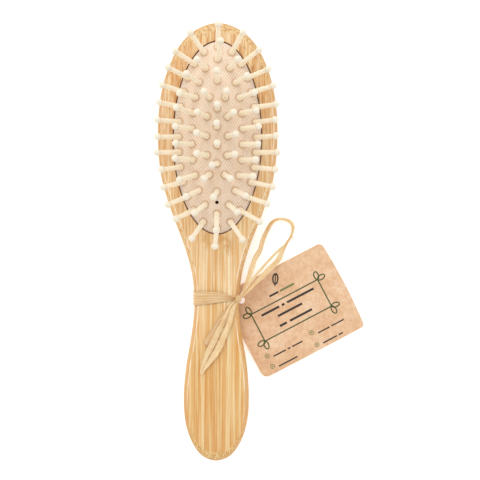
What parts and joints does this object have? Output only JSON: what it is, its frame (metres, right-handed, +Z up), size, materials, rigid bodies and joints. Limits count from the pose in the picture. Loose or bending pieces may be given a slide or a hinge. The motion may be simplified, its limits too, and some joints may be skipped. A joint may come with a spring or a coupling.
{
  "type": "hair brush",
  "caption": "Small oval bamboo hair brush with ball-tipped pins on a rubber air cushion, a raffia tie round its waist and a plain card hang tag.",
  "frame": {"origin": "under the middle of the brush, on the surface that it lies on", "axes": "+Y from the handle to the head, +Z up out of the cushion along its middle pins, +X to the side that the tag hangs on"},
  "size_m": [0.0835, 0.1732, 0.0341],
  "materials": {
    "bamboo": "fine-sanded laminated bamboo with a thin satin oil",
    "cushion_rubber": "matt rubber with a fine crossed-line emboss",
    "pin_nylon": "satin moulded nylon, cream",
    "raffia": "dry fibrous strip with a slight sheen",
    "kraft_card": "uncoated kraft board with a thin printed frame"
  },
  "bodies": {
    "brush": {"brush_body": "bamboo", "raffia_wrap": "raffia", "raffia_loop": "raffia", "raffia_tail_long": "raffia", "raffia_tail_short": "raffia"},
    "cushion": {"air_cushion": "cushion_rubber"},
    "tag": {"hang_tag": "kraft_card"},
    "pin_row_left": {"pin_row_left": "pin_nylon"},
    "pin_row_centre": {"pin_row_centre": "pin_nylon"},
    "pin_row_right": {"pin_row_right": "pin_nylon"},
    "pin_outer_01": {"pin_outer_01": "pin_nylon"},
    "pin_outer_02": {"pin_outer_02": "pin_nylon"},
    "pin_outer_03": {"pin_outer_03": "pin_nylon"},
    "pin_outer_04": {"pin_outer_04": "pin_nylon"},
    "pin_outer_05": {"pin_outer_05": "pin_nylon"},
    "pin_outer_06": {"pin_outer_06": "pin_nylon"},
    "pin_outer_07": {"pin_outer_07": "pin_nylon"},
    "pin_outer_08": {"pin_outer_08": "pin_nylon"},
    "pin_outer_09": {"pin_outer_09": "pin_nylon"},
    "pin_outer_10": {"pin_outer_10": "pin_nylon"},
    "pin_outer_11": {"pin_outer_11": "pin_nylon"},
    "pin_outer_12": {"pin_outer_12": "pin_nylon"},
    "pin_outer_13": {"pin_outer_13": "pin_nylon"},
    "pin_outer_14": {"pin_outer_14": "pin_nylon"},
    "pin_outer_15": {"pin_outer_15": "pin_nylon"},
    "pin_outer_16": {"pin_outer_16": "pin_nylon"},
    "pin_outer_17": {"pin_outer_17": "pin_nylon"},
    "pin_outer_18": {"pin_outer_18": "pin_nylon"},
    "pin_outer_19": {"pin_outer_19": "pin_nylon"},
    "pin_outer_20": {"pin_outer_20": "pin_nylon"},
    "pin_outer_21": {"pin_outer_21": "pin_nylon"},
    "pin_outer_22": {"pin_outer_22": "pin_nylon"},
    "pin_outer_23": {"pin_outer_23": "pin_nylon"},
    "pin_outer_24": {"pin_outer_24": "pin_nylon"},
    "pin_outer_25": {"pin_outer_25": "pin_nylon"},
    "pin_outer_26": {"pin_outer_26": "pin_nylon"},
    "pin_outer_27": {"pin_outer_27": "pin_nylon"},
    "pin_outer_28": {"pin_outer_28": "pin_nylon"},
    "pin_middle_01": {"pin_middle_01": "pin_nylon"},
    "pin_middle_02": {"pin_middle_02": "pin_nylon"},
    "pin_middle_03": {"pin_middle_03": "pin_nylon"},
    "pin_middle_04": {"pin_middle_04": "pin_nylon"},
    "pin_middle_05": {"pin_middle_05": "pin_nylon"},
    "pin_middle_06": {"pin_middle_06": "pin_nylon"},
    "pin_middle_07": {"pin_middle_07": "pin_nylon"},
    "pin_middle_08": {"pin_middle_08": "pin_nylon"},
    "pin_middle_09": {"pin_middle_09": "pin_nylon"},
    "pin_middle_10": {"pin_middle_10": "pin_nylon"},
    "pin_middle_11": {"pin_middle_11": "pin_nylon"},
    "pin_middle_12": {"pin_middle_12": "pin_nylon"},
    "pin_middle_13": {"pin_middle_13": "pin_nylon"},
    "pin_middle_14": {"pin_middle_14": "pin_nylon"},
    "pin_middle_15": {"pin_middle_15": "pin_nylon"},
    "pin_middle_16": {"pin_middle_16": "pin_nylon"},
    "pin_middle_17": {"pin_middle_17": "pin_nylon"},
    "pin_middle_18": {"pin_middle_18": "pin_nylon"},
    "pin_middle_19": {"pin_middle_19": "pin_nylon"},
    "pin_middle_20": {"pin_middle_20": "pin_nylon"},
    "pin_middle_21": {"pin_middle_21": "pin_nylon"},
    "pin_middle_22": {"pin_middle_22": "pin_nylon"}
  },
  "joints": [
    {"name": "cushion_press", "type": "slide", "parent": "brush", "child": "cushion", "axis": [0, 0, 1], "range_m": [-0.002, 0], "stiffness_N_per_m": 1200, "deforming": ["air_cushion"]},
    {"name": "tag_swing", "type": "hinge", "parent": "brush", "child": "tag", "pos_m": [0.0098, -0.0237, 0.0011], "axis": [0, 0, 1], "range_deg": [-3, 15]},
    {"name": "tilt_row_left", "type": "hinge", "parent": "cushion", "child": "pin_row_left", "pos_m": [-0.0037, 0.0407, 0.0168], "axis": [0, 1, 0], "range_deg": [-12, 12], "stiffness_Nm_per_rad": 0.01},
    {"name": "tilt_row_centre", "type": "hinge", "parent": "cushion", "child": "pin_row_centre", "pos_m": [0, 0.0407, 0.0172], "axis": [0, 1, 0], "range_deg": [-12, 12], "stiffness_Nm_per_rad": 0.01},
    {"name": "tilt_row_right", "type": "hinge", "parent": "cushion", "child": "pin_row_right", "pos_m": [0.0037, 0.0407, 0.0168], "axis": [0, 1, 0], "range_deg": [-12, 12], "stiffness_Nm_per_rad": 0.01},
    {"name": "tilt_outer_01", "type": "hinge", "parent": "cushion", "child": "pin_outer_01", "pos_m": [0, 0.07573, 0.0124], "axis": [0, 1, 0], "range_deg": [-10, 10], "stiffness_Nm_per_rad": 0.01},
    {"name": "tilt_outer_02", "type": "hinge", "parent": "cushion", "child": "pin_outer_02", "pos_m": [-0.00505, 0.07353, 0.0125], "axis": [0, 1, 0], "range_deg": [-10, 10], "stiffness_Nm_per_rad": 0.01},
    {"name": "tilt_outer_03", "type": "hinge", "parent": "cushion", "child": "pin_outer_03", "pos_m": [-0.00856, 0.069, 0.01262], "axis": [0, 1, 0], "range_deg": [-10, 10], "stiffness_Nm_per_rad": 0.01},
    {"name": "tilt_outer_04", "type": "hinge", "parent": "cushion", "child": "pin_outer_04", "pos_m": [-0.01099, 0.06373, 0.01265], "axis": [0, 1, 0], "range_deg": [-10, 10], "stiffness_Nm_per_rad": 0.01},
    {"name": "tilt_outer_05", "type": "hinge", "parent": "cushion", "child": "pin_outer_05", "pos_m": [-0.01268, 0.05814, 0.01262], "axis": [0, 1, 0], "range_deg": [-10, 10], "stiffness_Nm_per_rad": 0.01},
    {"name": "tilt_outer_06", "type": "hinge", "parent": "cushion", "child": "pin_outer_06", "pos_m": [-0.01381, 0.05239, 0.01255], "axis": [0, 1, 0], "range_deg": [-10, 10], "stiffness_Nm_per_rad": 0.01},
    {"name": "tilt_outer_07", "type": "hinge", "parent": "cushion", "child": "pin_outer_07", "pos_m": [-0.01447, 0.04657, 0.01249], "axis": [0, 1, 0], "range_deg": [-10, 10], "stiffness_Nm_per_rad": 0.01},
    {"name": "tilt_outer_08", "type": "hinge", "parent": "cushion", "child": "pin_outer_08", "pos_m": [-0.01469, 0.0407, 0.01247], "axis": [0, 1, 0], "range_deg": [-10, 10], "stiffness_Nm_per_rad": 0.01},
    {"name": "tilt_outer_09", "type": "hinge", "parent": "cushion", "child": "pin_outer_09", "pos_m": [-0.01447, 0.03483, 0.01249], "axis": [0, 1, 0], "range_deg": [-10, 10], "stiffness_Nm_per_rad": 0.01},
    {"name": "tilt_outer_10", "type": "hinge", "parent": "cushion", "child": "pin_outer_10", "pos_m": [-0.01381, 0.029, 0.01255], "axis": [0, 1, 0], "range_deg": [-10, 10], "stiffness_Nm_per_rad": 0.01},
    {"name": "tilt_outer_11", "type": "hinge", "parent": "cushion", "child": "pin_outer_11", "pos_m": [-0.01268, 0.02326, 0.01262], "axis": [0, 1, 0], "range_deg": [-10, 10], "stiffness_Nm_per_rad": 0.01},
    {"name": "tilt_outer_12", "type": "hinge", "parent": "cushion", "child": "pin_outer_12", "pos_m": [-0.01099, 0.01767, 0.01265], "axis": [0, 1, 0], "range_deg": [-10, 10], "stiffness_Nm_per_rad": 0.01},
    {"name": "tilt_outer_13", "type": "hinge", "parent": "cushion", "child": "pin_outer_13", "pos_m": [-0.00856, 0.0124, 0.01262], "axis": [0, 1, 0], "range_deg": [-10, 10], "stiffness_Nm_per_rad": 0.01},
    {"name": "tilt_outer_14", "type": "hinge", "parent": "cushion", "child": "pin_outer_14", "pos_m": [-0.00505, 0.00787, 0.0125], "axis": [0, 1, 0], "range_deg": [-10, 10], "stiffness_Nm_per_rad": 0.01},
    {"name": "tilt_outer_15", "type": "hinge", "parent": "cushion", "child": "pin_outer_15", "pos_m": [0, 0.00567, 0.0124], "axis": [0, 1, 0], "range_deg": [-10, 10], "stiffness_Nm_per_rad": 0.01},
    {"name": "tilt_outer_16", "type": "hinge", "parent": "cushion", "child": "pin_outer_16", "pos_m": [0.00505, 0.00787, 0.0125], "axis": [0, 1, 0], "range_deg": [-10, 10], "stiffness_Nm_per_rad": 0.01},
    {"name": "tilt_outer_17", "type": "hinge", "parent": "cushion", "child": "pin_outer_17", "pos_m": [0.00856, 0.0124, 0.01262], "axis": [0, 1, 0], "range_deg": [-10, 10], "stiffness_Nm_per_rad": 0.01},
    {"name": "tilt_outer_18", "type": "hinge", "parent": "cushion", "child": "pin_outer_18", "pos_m": [0.01099, 0.01767, 0.01265], "axis": [0, 1, 0], "range_deg": [-10, 10], "stiffness_Nm_per_rad": 0.01},
    {"name": "tilt_outer_19", "type": "hinge", "parent": "cushion", "child": "pin_outer_19", "pos_m": [0.01268, 0.02326, 0.01262], "axis": [0, 1, 0], "range_deg": [-10, 10], "stiffness_Nm_per_rad": 0.01},
    {"name": "tilt_outer_20", "type": "hinge", "parent": "cushion", "child": "pin_outer_20", "pos_m": [0.01381, 0.029, 0.01255], "axis": [0, 1, 0], "range_deg": [-10, 10], "stiffness_Nm_per_rad": 0.01},
    {"name": "tilt_outer_21", "type": "hinge", "parent": "cushion", "child": "pin_outer_21", "pos_m": [0.01447, 0.03483, 0.01249], "axis": [0, 1, 0], "range_deg": [-10, 10], "stiffness_Nm_per_rad": 0.01},
    {"name": "tilt_outer_22", "type": "hinge", "parent": "cushion", "child": "pin_outer_22", "pos_m": [0.01469, 0.0407, 0.01247], "axis": [0, 1, 0], "range_deg": [-10, 10], "stiffness_Nm_per_rad": 0.01},
    {"name": "tilt_outer_23", "type": "hinge", "parent": "cushion", "child": "pin_outer_23", "pos_m": [0.01447, 0.04657, 0.01249], "axis": [0, 1, 0], "range_deg": [-10, 10], "stiffness_Nm_per_rad": 0.01},
    {"name": "tilt_outer_24", "type": "hinge", "parent": "cushion", "child": "pin_outer_24", "pos_m": [0.01381, 0.05239, 0.01255], "axis": [0, 1, 0], "range_deg": [-10, 10], "stiffness_Nm_per_rad": 0.01},
    {"name": "tilt_outer_25", "type": "hinge", "parent": "cushion", "child": "pin_outer_25", "pos_m": [0.01268, 0.05814, 0.01262], "axis": [0, 1, 0], "range_deg": [-10, 10], "stiffness_Nm_per_rad": 0.01},
    {"name": "tilt_outer_26", "type": "hinge", "parent": "cushion", "child": "pin_outer_26", "pos_m": [0.01099, 0.06373, 0.01265], "axis": [0, 1, 0], "range_deg": [-10, 10], "stiffness_Nm_per_rad": 0.01},
    {"name": "tilt_outer_27", "type": "hinge", "parent": "cushion", "child": "pin_outer_27", "pos_m": [0.00856, 0.069, 0.01262], "axis": [0, 1, 0], "range_deg": [-10, 10], "stiffness_Nm_per_rad": 0.01},
    {"name": "tilt_outer_28", "type": "hinge", "parent": "cushion", "child": "pin_outer_28", "pos_m": [0.00505, 0.07353, 0.0125], "axis": [0, 1, 0], "range_deg": [-10, 10], "stiffness_Nm_per_rad": 0.01},
    {"name": "tilt_middle_01", "type": "hinge", "parent": "cushion", "child": "pin_middle_01", "pos_m": [0, 0.07055, 0.01475], "axis": [0, 1, 0], "range_deg": [-12, 12], "stiffness_Nm_per_rad": 0.01},
    {"name": "tilt_middle_02", "type": "hinge", "parent": "cushion", "child": "pin_middle_02", "pos_m": [-0.00443, 0.06708, 0.01514], "axis": [0, 1, 0], "range_deg": [-12, 12], "stiffness_Nm_per_rad": 0.01},
    {"name": "tilt_middle_03", "type": "hinge", "parent": "cushion", "child": "pin_middle_03", "pos_m": [-0.00677, 0.0616, 0.01548], "axis": [0, 1, 0], "range_deg": [-12, 12], "stiffness_Nm_per_rad": 0.01},
    {"name": "tilt_middle_04", "type": "hinge", "parent": "cushion", "child": "pin_middle_04", "pos_m": [-0.00821, 0.05576, 0.01557], "axis": [0, 1, 0], "range_deg": [-12, 12], "stiffness_Nm_per_rad": 0.01},
    {"name": "tilt_middle_05", "type": "hinge", "parent": "cushion", "child": "pin_middle_05", "pos_m": [-0.00907, 0.04979, 0.01546], "axis": [0, 1, 0], "range_deg": [-12, 12], "stiffness_Nm_per_rad": 0.01},
    {"name": "tilt_middle_06", "type": "hinge", "parent": "cushion", "child": "pin_middle_06", "pos_m": [-0.0095, 0.04374, 0.01531], "axis": [0, 1, 0], "range_deg": [-12, 12], "stiffness_Nm_per_rad": 0.01},
    {"name": "tilt_middle_07", "type": "hinge", "parent": "cushion", "child": "pin_middle_07", "pos_m": [-0.0095, 0.03766, 0.01531], "axis": [0, 1, 0], "range_deg": [-12, 12], "stiffness_Nm_per_rad": 0.01},
    {"name": "tilt_middle_08", "type": "hinge", "parent": "cushion", "child": "pin_middle_08", "pos_m": [-0.00907, 0.03161, 0.01546], "axis": [0, 1, 0], "range_deg": [-12, 12], "stiffness_Nm_per_rad": 0.01},
    {"name": "tilt_middle_09", "type": "hinge", "parent": "cushion", "child": "pin_middle_09", "pos_m": [-0.00821, 0.02564, 0.01557], "axis": [0, 1, 0], "range_deg": [-12, 12], "stiffness_Nm_per_rad": 0.01},
    {"name": "tilt_middle_10", "type": "hinge", "parent": "cushion", "child": "pin_middle_10", "pos_m": [-0.00677, 0.0198, 0.01548], "axis": [0, 1, 0], "range_deg": [-12, 12], "stiffness_Nm_per_rad": 0.01},
    {"name": "tilt_middle_11", "type": "hinge", "parent": "cushion", "child": "pin_middle_11", "pos_m": [-0.00443, 0.01432, 0.01514], "axis": [0, 1, 0], "range_deg": [-12, 12], "stiffness_Nm_per_rad": 0.01},
    {"name": "tilt_middle_12", "type": "hinge", "parent": "cushion", "child": "pin_middle_12", "pos_m": [0, 0.01085, 0.01475], "axis": [0, 1, 0], "range_deg": [-12, 12], "stiffness_Nm_per_rad": 0.01},
    {"name": "tilt_middle_13", "type": "hinge", "parent": "cushion", "child": "pin_middle_13", "pos_m": [0.00443, 0.01432, 0.01514], "axis": [0, 1, 0], "range_deg": [-12, 12], "stiffness_Nm_per_rad": 0.01},
    {"name": "tilt_middle_14", "type": "hinge", "parent": "cushion", "child": "pin_middle_14", "pos_m": [0.00677, 0.0198, 0.01548], "axis": [0, 1, 0], "range_deg": [-12, 12], "stiffness_Nm_per_rad": 0.01},
    {"name": "tilt_middle_15", "type": "hinge", "parent": "cushion", "child": "pin_middle_15", "pos_m": [0.00821, 0.02564, 0.01557], "axis": [0, 1, 0], "range_deg": [-12, 12], "stiffness_Nm_per_rad": 0.01},
    {"name": "tilt_middle_16", "type": "hinge", "parent": "cushion", "child": "pin_middle_16", "pos_m": [0.00907, 0.03161, 0.01546], "axis": [0, 1, 0], "range_deg": [-12, 12], "stiffness_Nm_per_rad": 0.01},
    {"name": "tilt_middle_17", "type": "hinge", "parent": "cushion", "child": "pin_middle_17", "pos_m": [0.0095, 0.03766, 0.01531], "axis": [0, 1, 0], "range_deg": [-12, 12], "stiffness_Nm_per_rad": 0.01},
    {"name": "tilt_middle_18", "type": "hinge", "parent": "cushion", "child": "pin_middle_18", "pos_m": [0.0095, 0.04374, 0.01531], "axis": [0, 1, 0], "range_deg": [-12, 12], "stiffness_Nm_per_rad": 0.01},
    {"name": "tilt_middle_19", "type": "hinge", "parent": "cushion", "child": "pin_middle_19", "pos_m": [0.00907, 0.04979, 0.01546], "axis": [0, 1, 0], "range_deg": [-12, 12], "stiffness_Nm_per_rad": 0.01},
    {"name": "tilt_middle_20", "type": "hinge", "parent": "cushion", "child": "pin_middle_20", "pos_m": [0.00821, 0.05576, 0.01557], "axis": [0, 1, 0], "range_deg": [-12, 12], "stiffness_Nm_per_rad": 0.01},
    {"name": "tilt_middle_21", "type": "hinge", "parent": "cushion", "child": "pin_middle_21", "pos_m": [0.00677, 0.0616, 0.01548], "axis": [0, 1, 0], "range_deg": [-12, 12], "stiffness_Nm_per_rad": 0.01},
    {"name": "tilt_middle_22", "type": "hinge", "parent": "cushion", "child": "pin_middle_22", "pos_m": [0.00443, 0.06708, 0.01514], "axis": [0, 1, 0], "range_deg": [-12, 12], "stiffness_Nm_per_rad": 0.01}
  ]
}
